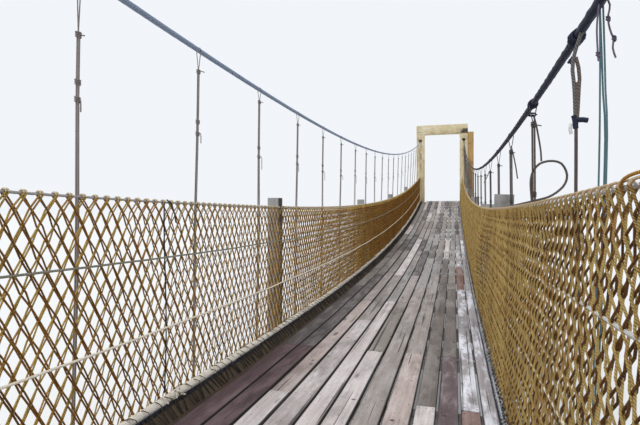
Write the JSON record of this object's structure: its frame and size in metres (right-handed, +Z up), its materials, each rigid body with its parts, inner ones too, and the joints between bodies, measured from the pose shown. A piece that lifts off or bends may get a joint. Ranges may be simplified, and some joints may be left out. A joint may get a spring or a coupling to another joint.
{
  "type": "rope suspension footbridge",
  "caption": "Suspension footbridge with a sagging plank deck on wire hangers, rope-net sides and timber portals.",
  "frame": {"origin": "floor level below the lowest point of the deck, on the bridge's centre line", "axes": "+X along the bridge towards the far portal of the picture, +Y to the left, +Z up"},
  "size_m": [39.4, 2.4903, 5.215],
  "materials": {
    "portal_timber": "yellowed sawn timber with dark stains",
    "dark_timber": "orange-brown timber, weathered",
    "deck_boards": "weathered grey boards, worn along the middle",
    "weathered_timber": "split grey timber",
    "rail_pole": "pale peeled pole",
    "steel_cable": "dark weathered wire rope",
    "net_rope": "golden-brown twisted synthetic rope",
    "concrete": "rough cast concrete"
  },
  "bodies": {
    "root": {"near_lintel": "portal_timber", "near_right_outer_post": "dark_timber", "near_left_portal_post": "portal_timber", "near_left_anchor_block": "concrete", "near_right_portal_post": "portal_timber", "near_right_anchor_block": "concrete", "far_lintel": "portal_timber", "far_right_outer_post": "dark_timber", "far_left_portal_post": "portal_timber", "far_left_anchor_block": "concrete", "far_right_portal_post": "portal_timber", "far_right_anchor_block": "concrete", "deck_bay_1": "deck_boards", "deck_bay_2": "deck_boards", "deck_bay_3": "deck_boards", "deck_bay_4": "deck_boards", "deck_bay_5": "deck_boards", "deck_bay_6": "deck_boards", "deck_bay_7": "deck_boards", "deck_bay_8": "deck_boards", "deck_bay_9": "deck_boards", "left_main_cable": "steel_cable", "left_handrail": "weathered_timber", "left_bottom_rail": "rail_pole", "left_net_1": "net_rope", "left_net_2": "net_rope", "left_net_3": "net_rope", "left_net_4": "net_rope", "left_net_5": "net_rope", "left_net_6": "net_rope", "left_net_7": "net_rope", "left_net_8": "net_rope", "right_main_cable": "steel_cable", "right_handrail": "weathered_timber", "right_bottom_rail": "rail_pole", "right_net_1": "net_rope", "right_net_2": "net_rope", "right_net_3": "net_rope", "right_net_4": "net_rope", "right_net_5": "net_rope", "right_net_6": "net_rope", "right_net_7": "net_rope", "right_net_8": "net_rope"}
  },
  "joints": []
}
